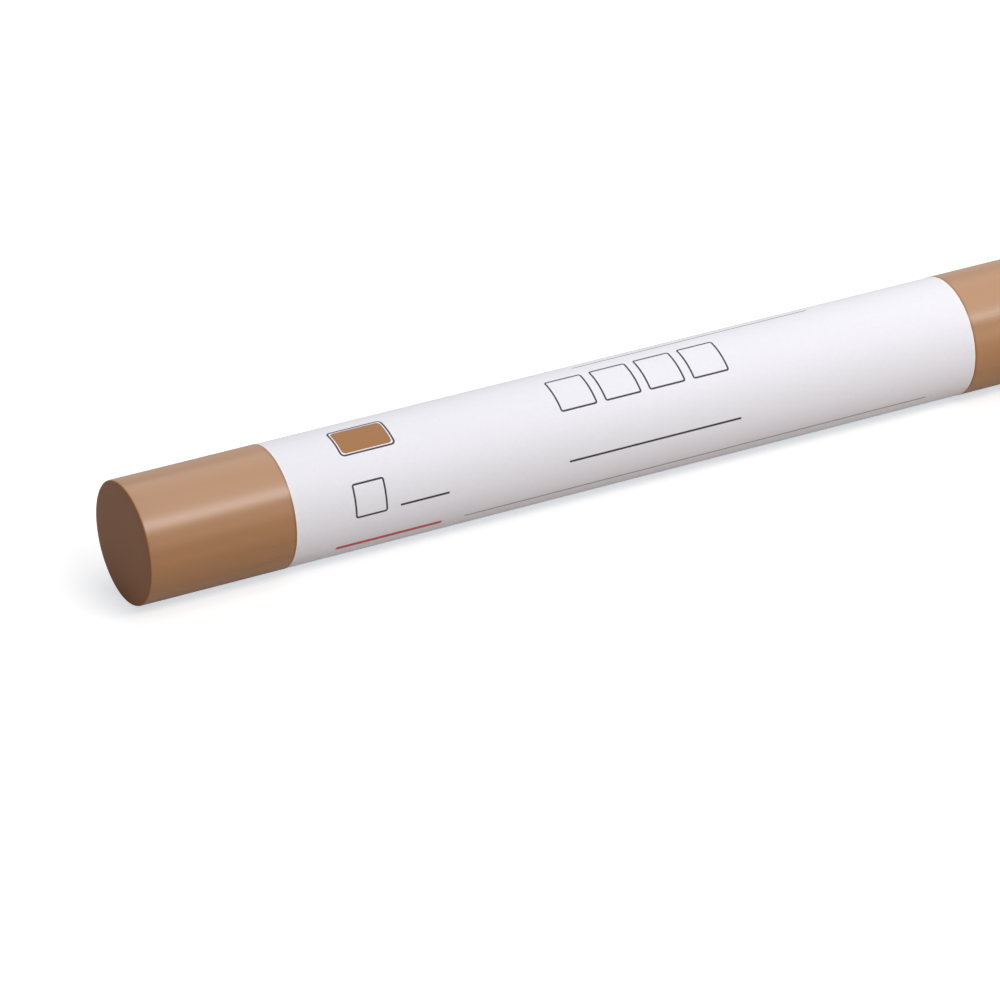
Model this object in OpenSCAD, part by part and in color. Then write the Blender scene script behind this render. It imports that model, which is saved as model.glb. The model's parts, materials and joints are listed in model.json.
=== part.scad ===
// Furniture touch-up marker of the valve type: a closed barrel of liquid paint, a spring valve
// that the nib pushes open, a push-on cap and a wrapped paper label.
// Every piece is built upright, with the tail at height 0, and lay_down() then lays the marker
// on its side along +X, with the middle of its length over the origin.

/* [Barrel] */
// Outside diameter of the barrel and of the cap
barrel_d = 12; // [11:0.1:15]
// Wall thickness of the barrel
barrel_wall = 1.3; // [1.1:0.05:1.6]
// Thickness of the closed tail
tail_wall = 1.6; // [1:0.1:3]
// Radius of the moulded edge round the tail
tail_edge_r = 0.2; // [0.1:0.05:1]
// Radius of the corner inside the tail
tail_fillet_r = 0.8; // [0.3:0.1:1.5]
// Bare barrel between the tail and the label
tail_margin = 15; // [8:0.5:25]
// Bare barrel between the label and the cap
front_margin = 15; // [8:0.5:25]
// Radius of the edges that meet at the seam between barrel and cap
seam_edge_r = 0.2; // [0.1:0.05:0.3]

/* [Label] */
// Length of the label along the barrel
label_length = 74; // [50:1:100]
// Thickness of the label paper
label_paper = 0.1; // [0.06:0.01:0.2]
// Width of the strip where the label overlaps itself
label_lap = 4; // [2:0.5:8]
// Width over which the paper climbs onto its own first edge
label_climb = 0.6; // [0.4:0.1:1]

/* [Cap] */
// Length of the cap
cap_length = 36; // [34:0.5:50]
// Wall thickness of the cap
cap_wall = 0.8; // [0.6:0.05:0.9]
// Thickness of the closed end of the cap
cap_end_wall = 1.2; // [0.8:0.1:3]
// Radius of the moulded edge round the end of the cap
cap_edge_r = 0.5; // [0.2:0.1:0.8]
// Chamfer inside the mouth of the cap and of its liner
mouth_chamfer = 0.3; // [0.1:0.05:0.4]
// Number of ribs that hold the liner inside the cap
cap_ribs = 6; // [3:1:8]
// Width of each rib
cap_rib_w = 0.8; // [0.5:0.1:1.2]
// Wall thickness of the soft liner
liner_wall = 0.7; // [0.5:0.05:0.8]
// Length of nose that the liner covers
liner_grip = 6; // [3:0.5:6.5]
// Length of the sealing lip at the mouth of the liner
liner_lip = 2; // [1:0.1:2.5]
// Depth by which the liner's wall stands back behind its lip
liner_relief = 0.2; // [0.1:0.05:0.3]

/* [Nib holder] */
// Depth of the holder's plug inside the barrel
plug_length = 16; // [12:0.5:20]
// Wall thickness of the plug
plug_wall = 1; // [0.8:0.05:1.2]
// Chamfer that leads the plug into the barrel
plug_chamfer = 0.3; // [0.1:0.05:0.4]
// Length of the collar that the cap slides onto
collar_length = 9; // [6:0.5:12]
// Length of the cone between the collar and the nose
cone_length = 4; // [2:0.5:8]
// Length of the straight nose
nose_length = 7; // [6.5:0.5:10]
// Wall thickness of the nose
nose_wall = 1.25; // [0.9:0.05:1.5]
// Radius of the edge round the mouth of the nose
nose_edge_r = 0.5; // [0.2:0.1:0.7]
// Height of the snap beads
bead_height = 0.15; // [0.1:0.01:0.2]
// Radius of the rounded top of the snap beads
bead_round = 0.5; // [0.3:0.05:0.6]
// Number of paint grooves along the nib bore
groove_count = 6; // [4:1:8]
// Radius of each paint groove
groove_r = 0.45; // [0.3:0.05:0.6]

/* [Nib] */
// Diameter of the felt nib
nib_d = 5; // [4:0.1:5.5]
// Length of nib that stands out of the nose
nib_reach = 7; // [5:0.5:9]
// Radius of the rounded point
nib_tip_r = 1.3; // [0.8:0.1:1.8]
// Angle of the tapered point, from the axis
nib_taper = 25; // [15:1:35]
// Chamfer round the back of the nib
nib_chamfer = 0.4; // [0.2:0.1:0.8]
// Travel of the nib when it is pressed to open the valve
press_travel = 2; // [1:0.1:3]

/* [Valve] */
// Thickness of the rubber seal
seal_thickness = 1.5; // [1:0.1:2.5]
// Width of seal that the stem head presses on
seal_width = 0.8; // [0.5:0.05:1]
// Gap that the paint flows through round the stem
flow_gap = 0.4; // [0.3:0.05:0.5]
// Space left ahead of the seal when the nib is fully pressed
press_spare = 0.5; // [0.3:0.1:1]
// Wall thickness of the spring cage
cage_wall = 0.8; // [0.6:0.05:0.9]
// Depth of the cage inside the plug
cage_rim = 4; // [3:0.5:6]
// Thickness of the cage floor
cage_floor = 1; // [0.6:0.1:2]
// Thickness of the cage flange
cage_flange = 0.8; // [0.5:0.1:1.2]
// Number of windows in the side of the cage
window_count = 4; // [3:1:6]
// Width of each window
window_w = 2.2; // [1.2:0.1:2.6]
// Thickness of the stem head
head_thickness = 1.2; // [0.8:0.1:2]
// Number of flutes along the stem's push pin
flute_count = 4; // [3:1:5]
// Radius of each flute
flute_r = 0.45; // [0.3:0.05:0.5]
// Diameter of the stem's guide pin
guide_d = 1.8; // [1.4:0.1:2.2]
// Chamfer round the end of the guide pin
guide_chamfer = 0.2; // [0.1:0.05:0.4]
// Length of guide pin behind the cage when the valve is shut
guide_spare = 0.5; // [0.2:0.1:1]
// Length of the valve spring as fitted
spring_length = 7; // [6:0.5:10]
// Diameter of the spring wire
spring_wire = 0.4; // [0.3:0.05:0.5]
// Space between the spring and the guide pin
spring_gap = 0.25; // [0.15:0.05:0.3]
// Number of turns of the spring
spring_turns = 6; // [4:0.5:8]

/* [Mixing ball] */
// Diameter of the steel mixing ball
ball_d = 6; // [4:0.1:7]

/* [Fits] */
// Gap between pieces that are pressed together
press_gap = 0.02; // [0.01:0.01:0.05]
// Gap between pieces that slide
slide_gap = 0.05; // [0.03:0.01:0.1]
// Gap at the seam between the barrel and the cap
seam_gap = 0.15; // [0.05:0.05:0.3]

/* [Hidden] */
$fn = 64;
// How far a cut runs past the face that it opens, and an added shape into what carries it
overrun = 0.2;

barrel_colour = "#a77654";
label_colour = "#efeff2";
holder_colour = "#e9e4da";
nib_colour = "#8f6345";
liner_colour = "#f2efe8";
seal_colour = "#2b2b2d";
valve_colour = "#d9d6cf";
steel_colour = "#b9bcc0";

// Barrel and label
barrel_r = barrel_d / 2;
bore_r = barrel_r - barrel_wall;
barrel_length = tail_margin + label_length + front_margin;
label_outer_r = barrel_r - press_gap;
label_inner_r = label_outer_r - label_paper;
label_seat_r = label_inner_r - press_gap;
lap_angle = label_lap / barrel_r * 180 / PI;
climb_angle = label_climb / barrel_r * 180 / PI;
// The lap lies low on the side away from the viewer
lap_middle = 45;

// Nib holder, from the plug inside the barrel to the mouth of the nose
nib_r = nib_d / 2;
nib_bore_r = nib_r + slide_gap;
nose_r = nib_bore_r + nose_wall;
cap_bore_r = barrel_r - cap_wall;
collar_r = cap_bore_r - slide_gap - bead_height;
plug_r = bore_r - press_gap;
plug_bore_r = plug_r - plug_wall;
plug_rear = barrel_length - plug_length;
plug_bead_at = barrel_length - plug_length / 4;
collar_top = barrel_length + collar_length;
cone_top = collar_top + cone_length;
nose_top = cone_top + nose_length;

// Valve, from the seal back to the end of the cage
cage_r = plug_bore_r - press_gap;
cage_bore_r = cage_r - cage_wall;
cage_flange_r = plug_bore_r + plug_wall / 2;
head_r = cage_bore_r - flow_gap;
seal_hole_r = head_r - seal_width;
push_pin_r = seal_hole_r - flow_gap;
guide_r = guide_d / 2;
seal_rear = plug_rear + cage_rim;
seal_front = seal_rear + seal_thickness;
head_rear = seal_rear - head_thickness;
cage_inside = head_rear - spring_length;
cage_rear = cage_inside - cage_floor;
cage_flange_rear = plug_rear - cage_flange;
cage_bead_at = plug_rear + cage_rim / 2;
spring_r = guide_r + spring_gap + spring_wire / 2;

// Nib
nib_rear = seal_front + press_spare + press_travel;
nib_top = nose_top + nib_reach;
nib_tip_centre = nib_top - nib_tip_r;
taper_end_r = nib_tip_r * cos(nib_taper);
taper_end = nib_tip_centre + nib_tip_r * sin(nib_taper);
taper_start = taper_end - (nib_r - taper_end_r) / tan(nib_taper);

// Cap and liner
cap_mouth = barrel_length + seam_gap;
cap_top = barrel_length + cap_length;
cap_inside = cap_top - cap_end_wall;
liner_bore_r = nose_r + slide_gap;
liner_r = liner_bore_r + liner_wall;
liner_mouth = nose_top - liner_grip;
liner_top = cap_inside - press_gap;
liner_inside = liner_top - liner_wall;
liner_lip_top = liner_mouth + liner_lip;
rib_inner_r = liner_r + press_gap;

// Mixing ball, lying on the wall of the bore against the tail
ball_r = ball_d / 2;
ball_at = tail_wall + ball_r + slide_gap;
ball_drop = bore_r - ball_r - slide_gap;

// Helpers

// Lays an upright piece on its side, tail towards -X, resting on the ground
module lay_down() {
    translate([-cap_top / 2, 0, barrel_r])
        rotate([0, 90, 0])
            children();
}

// Solid of revolution about the marker's axis
module turned() {
    rotate_extrude()
        children();
}

// Rectangle of a turned profile, from radius r0 to r1 and height z0 to z1
module band(r0, r1, z0, z1) {
    translate([r0, z0])
        square([r1 - r0, z1 - z0]);
}

// Profile of a rod of radius r, from height z0 to z1, with a chamfer round its lower end
module rod(r, z0, z1, chamfer) {
    polygon([[0, z0], [r - chamfer, z0], [r, z0 + chamfer], [r, z1], [0, z1]]);
}

// What is cut from a turned profile to open a chamfer inside a mouth of radius r at height z
module mouth_cut(r, z) {
    reach = mouth_chamfer + overrun;
    polygon([[r - overrun, z - overrun], [r + reach, z - overrun], [r - overrun, z + reach]]);
}

// What is cut from a turned profile to round its outer edge at height z; up is 1 for a top edge
module edge_cut(r, z, edge_r, up) {
    difference() {
        translate([r - edge_r, z - (up > 0 ? edge_r : overrun)])
            square([edge_r + overrun, edge_r + overrun]);
        translate([r - edge_r, z - up * edge_r])
            circle(edge_r);
    }
}

// Rounded bead that stands out of radius r at height z, enlarged by the gap given
module bead(r, z, gap) {
    translate([r + bead_height - bead_round, z])
        circle(bead_round + gap);
}

// Strip of paper along the barrel, between two radii, starting at one angle and turning by another
module paper_arc(r0, r1, start, turn) {
    rotate([0, 0, start])
        translate([0, 0, tail_margin])
            rotate_extrude(angle = turn)
                band(r0, r1, 0, label_length);
}

// Point on a circle
function around(r, angle) = [r * cos(angle), r * sin(angle)];

// Height of the spring wire's centre at a share of the wire's run: the end turns lie closed
function spring_height(share) =
    let (closed = spring_wire + slide_gap,
         low = spring_wire / 2,
         high = spring_length - spring_wire / 2,
         turn = share * spring_turns)
    turn < 1 ? low + closed * turn
    : turn > spring_turns - 1 ? high - closed * (spring_turns - turn)
    : low + closed + (high - low - 2 * closed) * (turn - 1) / (spring_turns - 2);

// Sub-parts

// One-piece moulding: closed tail, paint chamber, shallow seat for the label
module barrel() {
    color(barrel_colour)
        lay_down()
            turned()
                difference() {
                    band(0, barrel_r, 0, barrel_length);
                    difference() {
                        band(0, bore_r, tail_wall, barrel_length + overrun);
                        edge_cut(bore_r, tail_wall, tail_fillet_r, -1);
                    }
                    band(label_seat_r, barrel_r + overrun,
                         tail_margin - press_gap, tail_margin + label_length + press_gap);
                    bead(bore_r, plug_bead_at, press_gap);
                    edge_cut(barrel_r, 0, tail_edge_r, -1);
                    edge_cut(barrel_r, barrel_length, seam_edge_r, 1);
                }
}

// Paper wound once round the barrel and glued over its own first edge
module label() {
    lap_start = lap_middle - lap_angle / 2;
    inside_paper = label_inner_r + label_paper / 2;
    color(label_colour)
        lay_down() {
            union() {
                paper_arc(label_inner_r, label_outer_r, 0, 360);
                paper_arc(inside_paper, label_outer_r + label_paper, lap_start, lap_angle);
                translate([0, 0, tail_margin])
                    linear_extrude(label_length)
                        polygon([
                            around(inside_paper, lap_start - climb_angle),
                            around(label_outer_r, lap_start - climb_angle),
                            around(label_outer_r + label_paper, lap_start),
                            around(inside_paper, lap_start + climb_angle)
                        ]);
            }
        }
}

// Loose steel ball that stirs the paint when the marker is shaken
module mixing_ball() {
    color(steel_colour)
        lay_down()
            translate([ball_drop, 0, ball_at])
                sphere(ball_r);
}

// Cup that holds the spring and clamps the seal, with windows that let the paint in
module valve_cage() {
    color(valve_colour)
        lay_down()
            difference() {
                turned()
                    difference() {
                        union() {
                            band(0, cage_r, cage_rear, seal_rear);
                            band(0, cage_flange_r, cage_flange_rear, plug_rear);
                            bead(cage_r, cage_bead_at, 0);
                        }
                        band(0, cage_bore_r, cage_inside, seal_rear + overrun);
                        band(0, guide_r + slide_gap, cage_rear - overrun, cage_inside + overrun);
                    }
                for (i = [0 : window_count - 1])
                    rotate([0, 0, i * 360 / window_count])
                        translate([guide_r + spring_wire, -window_w / 2, cage_inside])
                            cube([cage_r, window_w, cage_flange_rear - cage_inside]);
            }
}

// Steel compression spring, swept along its own helix
module valve_spring() {
    sides = 8;
    rings_per_turn = 18;
    rings = spring_turns * rings_per_turn;
    points = [
        for (i = [0 : rings], k = [0 : sides - 1])
            let (share = i / rings,
                 wire = around(spring_wire / 2, k * 360 / sides),
                 place = around(spring_r + wire.x, share * spring_turns * 360))
            [place.x, place.y, spring_height(share) + wire.y]
    ];
    walls = [
        for (i = [0 : rings - 1], k = [0 : sides - 1])
            let (a = i * sides + k,
                 b = i * sides + (k + 1) % sides)
            [a, a + sides, b + sides, b]
    ];
    start_face = [for (k = [0 : sides - 1]) k];
    end_face = [for (k = [sides - 1 : -1 : 0]) rings * sides + k];
    color(steel_colour)
        lay_down()
            translate([0, 0, cage_inside])
                polyhedron(points, concat(walls, [start_face], [end_face]), convexity = 10);
}

// Valve plunger: fluted push pin in front of the head, guide pin behind it
module valve_stem() {
    color(valve_colour)
        lay_down()
            difference() {
                turned() {
                    band(0, head_r, head_rear, seal_rear);
                    band(0, push_pin_r, seal_rear - overrun, nib_rear);
                    rod(guide_r, cage_rear - guide_spare, head_rear + overrun, guide_chamfer);
                }
                for (i = [0 : flute_count - 1])
                    rotate([0, 0, i * 360 / flute_count])
                        translate([push_pin_r, 0, seal_rear])
                            cylinder(r = flute_r, h = nib_rear + overrun - seal_rear);
            }
}

// Rubber washer that the stem head closes against
module valve_seal() {
    color(seal_colour)
        lay_down()
            turned()
                band(seal_hole_r, plug_bore_r - press_gap, seal_rear, seal_front);
}

// Plug in the barrel, collar under the cap, cone and nose, with the nib bore through it all
module nib_holder() {
    color(holder_colour)
        lay_down()
            difference() {
                turned()
                    difference() {
                        union() {
                            rod(plug_r, plug_rear, barrel_length + overrun, plug_chamfer);
                            bead(plug_r, plug_bead_at, 0);
                            band(0, collar_r, barrel_length, collar_top);
                            bead(collar_r, (barrel_length + collar_top) / 2, 0);
                            polygon([
                                [0, collar_top], [collar_r, collar_top],
                                [nose_r, cone_top], [0, cone_top]
                            ]);
                            band(0, nose_r, cone_top - overrun, nose_top);
                        }
                        band(0, nib_bore_r, plug_rear - overrun, nose_top + overrun);
                        band(0, plug_bore_r, plug_rear - overrun, seal_front);
                        bead(plug_bore_r, cage_bead_at, press_gap);
                        edge_cut(nose_r, nose_top, nose_edge_r, 1);
                    }
                for (i = [0 : groove_count - 1])
                    rotate([0, 0, i * 360 / groove_count])
                        translate([nib_bore_r, 0, seal_front - overrun])
                            cylinder(r = groove_r, h = nose_top - seal_front + 2 * overrun);
            }
}

// Felt rod with a bullet point
module nib() {
    color(nib_colour)
        lay_down()
            turned() {
                rod(nib_r, nib_rear, taper_start, nib_chamfer);
                polygon([[0, taper_start], [nib_r, taper_start], [taper_end_r, taper_end], [0, taper_end]]);
                intersection() {
                    translate([0, nib_tip_centre])
                        circle(nib_tip_r);
                    band(0, nib_tip_r, taper_end - overrun, nib_top);
                }
            }
}

// Push-on cap with ribs inside that centre its liner
module cap() {
    color(barrel_colour)
        lay_down() {
            turned()
                difference() {
                    band(0, barrel_r, cap_mouth, cap_top);
                    band(0, cap_bore_r, cap_mouth - overrun, cap_inside);
                    mouth_cut(cap_bore_r, cap_mouth);
                    edge_cut(barrel_r, cap_mouth, seam_edge_r, -1);
                    edge_cut(barrel_r, cap_top, cap_edge_r, 1);
                }
            for (i = [0 : cap_ribs - 1])
                rotate([0, 0, i * 360 / cap_ribs])
                    translate([rib_inner_r, -cap_rib_w / 2, liner_mouth])
                        cube([cap_bore_r + overrun - rib_inner_r, cap_rib_w,
                              cap_inside + overrun - liner_mouth]);
        }
}

// Soft cup inside the cap that closes over the nose and keeps the nib from drying
module cap_liner() {
    color(liner_colour)
        lay_down()
            turned()
                difference() {
                    band(0, liner_r, liner_mouth, liner_top);
                    band(0, liner_bore_r, liner_mouth - overrun, liner_inside);
                    mouth_cut(liner_bore_r, liner_mouth);
                    polygon([
                        [0, liner_lip_top], [liner_bore_r, liner_lip_top],
                        [liner_bore_r + liner_relief, liner_lip_top + liner_relief],
                        [liner_bore_r + liner_relief, liner_inside], [0, liner_inside]
                    ]);
                }
}

barrel();
label();
mixing_ball();
valve_cage();
valve_spring();
valve_stem();
valve_seal();
nib_holder();
nib();
cap();
cap_liner();
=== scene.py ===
# %% [markdown]
# # A furniture touch-up marker
# The marker is a round brown plastic barrel with a paper label wound round it and a push-on cap.
# Inside are a felt nib, a spring valve and a loose steel ball that stirs the paint.
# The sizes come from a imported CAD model, the frame. Every step makes one piece or one finish in the
# frame's own place, so nothing has to be fitted afterwards.

# %% The frame
import json
import math

import bpy
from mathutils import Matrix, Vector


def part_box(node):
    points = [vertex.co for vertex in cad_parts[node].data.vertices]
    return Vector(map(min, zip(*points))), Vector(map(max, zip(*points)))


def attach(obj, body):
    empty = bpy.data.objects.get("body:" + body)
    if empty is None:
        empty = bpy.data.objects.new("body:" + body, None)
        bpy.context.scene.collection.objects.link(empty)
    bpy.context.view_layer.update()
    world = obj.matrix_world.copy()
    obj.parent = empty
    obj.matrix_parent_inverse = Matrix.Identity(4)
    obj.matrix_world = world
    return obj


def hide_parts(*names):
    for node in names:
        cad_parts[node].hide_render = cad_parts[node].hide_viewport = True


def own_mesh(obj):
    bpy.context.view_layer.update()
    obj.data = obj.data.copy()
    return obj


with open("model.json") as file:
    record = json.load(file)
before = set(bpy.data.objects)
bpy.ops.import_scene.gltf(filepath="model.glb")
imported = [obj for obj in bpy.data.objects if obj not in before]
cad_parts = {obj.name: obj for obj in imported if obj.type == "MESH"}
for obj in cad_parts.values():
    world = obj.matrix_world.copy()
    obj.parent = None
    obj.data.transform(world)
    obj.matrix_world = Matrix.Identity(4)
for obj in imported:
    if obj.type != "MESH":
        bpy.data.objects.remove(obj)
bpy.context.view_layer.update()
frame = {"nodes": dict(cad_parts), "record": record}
MM = 0.001  # the frame is in metres, and the sizes in this lesson are in millimetres


def reach(node):
    """Where a turned node starts and ends along X, and its largest radius, in millimetres."""
    low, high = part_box(node)
    return tuple(round(size / MM, 2) for size in (low.x, high.x, (high.z - low.z) / 2))


tail_x, front_x, barrel_r = reach("barrel")
axis_z = barrel_r  # the marker lies on the floor, so its axis is one radius up
for node in frame["nodes"]:
    print(node, "runs from %.2f to %.2f mm, radius %.2f mm" % reach(node))

# %% [markdown]
# ## Camera
# The photograph shows the closed tail near and the label beyond it, through a long lens, so the two
# edges of the barrel run almost parallel. The far end leaves the picture. A wide lens close by would
# show the marker as large, but its edges would run together. A long lens a little over half a metre
# from the tail gives the narrow perspective of the photograph.

# %% Camera
CAMERA_FROM_TAIL = (-200.4, -446.9, 270.7)  # millimetres from the middle of the tail's face
CAMERA_LOOKS_DOWN = 28.58  # degrees below the horizon
CAMERA_TURNS_RIGHT = 28.23  # degrees from straight along +Y
LENS, SENSOR = 217.8, 36.0  # millimetres of focal length and of sensor width
camera_data = bpy.data.cameras.new("long_lens")
camera_data.lens = LENS
camera_data.sensor_width = SENSOR
camera = bpy.data.objects.new("camera", camera_data)
camera.location = [(a + b) * MM for a, b in zip((tail_x, 0, axis_z), CAMERA_FROM_TAIL)]
camera.rotation_euler = (math.radians(90 - CAMERA_LOOKS_DOWN), 0, math.radians(-CAMERA_TURNS_RIGHT))
bpy.context.scene.collection.objects.link(camera)
bpy.context.scene.camera = camera
bpy.context.scene.view_settings.view_transform = "Standard"
print("camera at", [round(c, 4) for c in camera.location])

# %% [markdown]
# ## Helpers for node trees
# Materials and Geometry Nodes are both trees of nodes. One helper adds a node, sets its properties and
# fills its sockets, either with a value or with a link from another node. Sockets go by their names,
# or by number where a node gives several of them the same name. The filling is a helper of its own,
# because it also serves the shader that every new material already has. Another helper turns the hex
# colours that a paint chart gives into the linear values that shaders calculate with.

# %% Node and colour helpers
def fill(tree, node, inputs):
    """Fills sockets with a value, a socket or a node, which stands for its first output in use."""
    for socket, value in inputs.items():
        if isinstance(value, bpy.types.Node):
            value = next(output for output in value.outputs if not output.is_unavailable)
        if isinstance(value, bpy.types.NodeSocket):
            tree.links.new(value, node.inputs[socket])
        else:
            node.inputs[socket].default_value = value


def add(tree, kind, inputs=None, **settings):
    """Adds one node with its settings and fills its sockets."""
    node = tree.nodes.new(kind)
    for name, value in settings.items():
        setattr(node, name, value)
    fill(tree, node, inputs or {})
    return node


def start_material(name):
    """A new material, its tree and its Principled shader."""
    material = bpy.data.materials.new(name)
    material.use_nodes = True
    return material, material.node_tree, material.node_tree.nodes["Principled BSDF"]


def linear(hex_colour):
    """A colour written as sRGB hex, as linear RGBA by the sRGB curve."""
    shares = [int(hex_colour[i:i + 2], 16) / 255 for i in (1, 3, 5)]
    return [s / 12.92 if s <= 0.04045 else ((s + 0.055) / 1.055) ** 2.4 for s in shares] + [1.0]


print("mid grey #808080 is", round(linear("#808080")[0], 3), "in linear light")

# %% [markdown]
# ## Floor
# The photograph has a plain white ground. A floor that is white by its own colour alone would throw
# strong light up under the marker, so this floor is a pale warm grey for light that bounces, and a glow
# that the camera sees in full lifts it to white. The glow is slightly cool, which evens out the warm
# grey. Reflections see a tenth of it, so that the plastic doesn't turn milky. The shadow stays on the
# floor. Further out the glow rises until the floor is plain white, so that low views see no edge.

# %% Floor
FLOOR_SIZE = 8.0  # metres
FLOOR_GLOW, PLAIN_WHITE = 0.65, 1.0  # under the marker and far from it
GLOW_RISES = (0.12, 0.45)  # metres from the marker's middle
FLOOR_IN_GLOSS = 0.1  # how much of the glow the plastic mirrors


def ground_rays(tree, in_gloss):
    """1 for the rays that see the ground in full white, and a share of that for those off a gloss."""
    rays = add(tree, "ShaderNodeLightPath").outputs
    gloss = add(tree, "ShaderNodeMath", {0: rays["Is Glossy Ray"], 1: in_gloss}, operation="MULTIPLY")
    seen = add(tree, "ShaderNodeMath", {0: rays["Is Camera Ray"], 1: gloss}, operation="MAXIMUM")
    return add(tree, "ShaderNodeMath", {0: seen, 1: rays["Is Transmission Ray"]}, operation="MAXIMUM")


half = FLOOR_SIZE / 2
floor_corners = [(-half, -half, 0), (half, -half, 0), (half, half, 0), (-half, half, 0)]
floor_mesh = bpy.data.meshes.new("floor")
floor_mesh.from_pydata(floor_corners, [], [(0, 1, 2, 3)])
floor = bpy.data.objects.new("floor", floor_mesh)
bpy.context.scene.collection.objects.link(floor)

backdrop_paper, tree, shader = start_material("matt_backdrop_paper")
spot = add(tree, "ShaderNodeTexCoord").outputs["Object"]
away = add(tree, "ShaderNodeVectorMath", {0: spot}, operation="LENGTH")
glow = add(tree, "ShaderNodeMapRange", {"Value": away, "From Min": GLOW_RISES[0], "From Max": GLOW_RISES[1],
                                        "To Min": FLOOR_GLOW, "To Max": PLAIN_WHITE},
           interpolation_type="SMOOTHSTEP")
lift = add(tree, "ShaderNodeMath", {0: ground_rays(tree, FLOOR_IN_GLOSS), 1: glow}, operation="MULTIPLY")
fill(tree, shader, {"Base Color": linear("#cbc4be"), "Roughness": 0.9, "Specular IOR Level": 0.0,
                    "Emission Color": linear("#f4faff"), "Emission Strength": lift})
floor_mesh.materials.append(backdrop_paper)
print("floor of", FLOOR_SIZE, "m, glow", FLOOR_GLOW)

# %% [markdown]
# ## Light
# The barrel shows a broad pale sheen over its top and front shoulder, with a brighter line at the
# sheen's lower edge, and an even, darker brown below. One photograph of a studio wrapped round the
# scene could give that, but lamps can be read and changed one by one: a panel overhead, a panel over
# the shoulder, a bright strip along its front edge, and two dim fills from the front, one of them low.
# The strip is what the brighter line mirrors. A lamp's power is worked out from how bright its face
# should look, so that a larger lamp doesn't look brighter.

# %% Lamps and surroundings
CEILING = 0.50  # metres above the floor, where three of the lamps hang and face straight down
AROUND = 0.25  # strength of the even light from all sides


def panel(name, place, size, target, face):
    """A rectangular soft lamp, in metres. Its face looks as bright as a white sheet lit at that level."""
    data = bpy.data.lights.new(name, "AREA")
    data.shape = "RECTANGLE"
    data.size, data.size_y = size
    data.energy = face * math.pi * size[0] * size[1]
    lamp = bpy.data.objects.new(name, data)
    lamp.location = place
    aim = [t - p for t, p in zip(target, place)]
    yaw = math.atan2(aim[0], -aim[1]) if any(aim[:2]) else 0.0
    lamp.rotation_euler = (math.acos(-aim[2] / math.dist(target, place)), 0, yaw - math.pi)
    lamp.visible_camera = False
    bpy.context.scene.collection.objects.link(lamp)


for name, x, y, size, face in (("overhead_panel", 0.20, 0.38, (0.48, 0.64), 1.58),
                               ("shoulder_panel", 0.20, -0.13, (0.48, 0.38), 1.98),
                               ("front_strip", 0.19, -0.43, (0.50, 0.24), 7.9)):
    panel(name, place=(x, y, CEILING), size=size, target=(x, y, 0.0), face=face)
panel("front_fill", place=(0.9, -1.5, 0.7), size=(1.4, 0.8), target=(0.0, 0.0, 0.0), face=0.48)
panel("low_fill", place=(0.55, -0.55, 0.12), size=(0.5, 0.2), target=(0.05, 0.0, 0.006), face=1.15)

world = bpy.data.worlds.new("white_studio")
bpy.context.scene.world = world
world.use_nodes = True
tree = world.node_tree
tree.nodes.clear()
around = add(tree, "ShaderNodeBackground", {"Color": linear("#ffffff"), "Strength": AROUND})
backdrop = add(tree, "ShaderNodeBackground", {"Color": linear("#ffffff"), "Strength": PLAIN_WHITE})
sky = add(tree, "ShaderNodeMixShader", {0: ground_rays(tree, in_gloss=1.0), 1: around, 2: backdrop})
add(tree, "ShaderNodeOutputWorld", {"Surface": sky})

# %% [markdown]
# ## Brown plastic of barrel and cap
# Such barrels are moulded in coloured polypropylene. The melt leaves faint streaks along the barrel,
# and the polished mould leaves a satin gloss that varies a little along those streaks. A painted image
# could hold the streaks, but it would need a seam. A noise that is stretched along X has none. It tints
# the colour, varies the gloss and lifts the surface by less than a thousandth of a millimetre. Both
# ends are dull, as if rubbed by standing, and a painted shade makes their colour darker. Beside each
# edge of the label a thin dark line is a painted shadow of that edge.

# %% Satin polypropylene, streaks
STREAK = (30.0, 2.0, 2.0)  # millimetres along and across the barrel
STREAK_RISE = 0.0008  # millimetres
NOISE_LOW, NOISE_HIGH = 0.3, 0.7  # nearly all of a noise lies between these
SATIN = (0.27, 0.34)  # roughness of the smoothest and the dullest streak
brown_plastic, tree, shader = start_material("satin_moulded_polypropylene")
spot = add(tree, "ShaderNodeTexCoord").outputs["Object"]
stretched = add(tree, "ShaderNodeMapping", {"Vector": spot, "Scale": [1 / (s * MM) for s in STREAK]})
streaks = add(tree, "ShaderNodeTexNoise", {"Vector": stretched, "Scale": 1.0, "Detail": 0.6})
tone = add(tree, "ShaderNodeMapRange", {"Value": streaks, "From Min": NOISE_LOW, "From Max": NOISE_HIGH})
tint = add(tree, "ShaderNodeMix", {"Factor": tone, "A": linear("#9c6e44"), "B": linear("#a3754c")},
           data_type="RGBA")
gloss = add(tree, "ShaderNodeMapRange", {"Value": tone, "To Min": SATIN[0], "To Max": SATIN[1]})
print(brown_plastic.name, "has streaks", STREAK[0], "mm long")

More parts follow.
